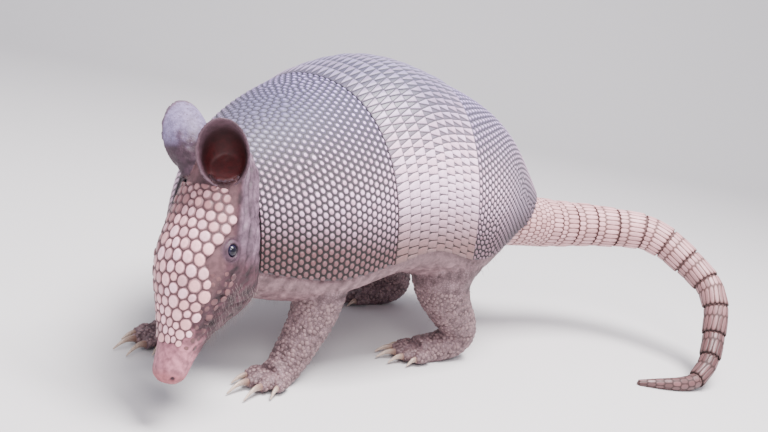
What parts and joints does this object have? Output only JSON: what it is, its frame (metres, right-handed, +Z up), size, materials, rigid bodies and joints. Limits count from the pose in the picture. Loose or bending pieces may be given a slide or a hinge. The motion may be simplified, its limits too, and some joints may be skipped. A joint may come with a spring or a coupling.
{
  "type": "nine-banded armadillo, still life-size model",
  "caption": "Life-size still model of a nine-banded armadillo standing with its nose lowered, its body curved to its left and its tail curling to the floor.",
  "frame": {"origin": "centre of the animal's bounding box on the floor, z = 0 under its feet", "axes": "+Z up, nose towards -Y, the animal's left side towards +X"},
  "size_m": [0.2772, 0.4862, 0.2101],
  "materials": {
    "skin": "matte, wrinkled",
    "shell_scale": "satin, bony scutes",
    "head_scale": "satin, bony scutes",
    "tail_scale": "satin, ringed scales",
    "claw": "smooth horn",
    "eye": "wet, glossy"
  },
  "bodies": {
    "root": {"head": "skin", "neck": "skin", "trunk": "skin", "ear_left": "skin", "ear_right": "skin", "leg_front_left": "skin", "leg_front_right": "skin", "leg_hind_left": "skin", "leg_hind_right": "skin", "scapular_shield": "shell_scale", "pelvic_shield": "shell_scale", "band_1": "shell_scale", "band_2": "shell_scale", "band_3": "shell_scale", "band_4": "shell_scale", "band_5": "shell_scale", "band_6": "shell_scale", "band_7": "shell_scale", "band_8": "shell_scale", "band_9": "shell_scale", "head_shield": "head_scale", "tail_ring_1": "tail_scale", "tail_ring_2": "tail_scale", "tail_ring_3": "tail_scale", "tail_ring_4": "tail_scale", "tail_ring_5": "tail_scale", "tail_ring_6": "tail_scale", "tail_ring_7": "tail_scale", "tail_ring_8": "tail_scale", "tail_ring_9": "tail_scale", "tail_ring_10": "tail_scale", "tail_ring_11": "tail_scale", "tail_ring_12": "tail_scale", "tail_tip": "tail_scale", "claw_front_left_1": "claw", "claw_front_left_2": "claw", "claw_front_left_3": "claw", "claw_front_left_4": "claw", "claw_front_right_1": "claw", "claw_front_right_2": "claw", "claw_front_right_3": "claw", "claw_front_right_4": "claw", "claw_hind_left_1": "claw", "claw_hind_left_2": "claw", "claw_hind_left_3": "claw", "claw_hind_left_4": "claw", "claw_hind_left_5": "claw", "claw_hind_right_1": "claw", "claw_hind_right_2": "claw", "claw_hind_right_3": "claw", "claw_hind_right_4": "claw", "claw_hind_right_5": "claw", "eye_left": "eye", "eye_right": "eye"}
  },
  "joints": []
}
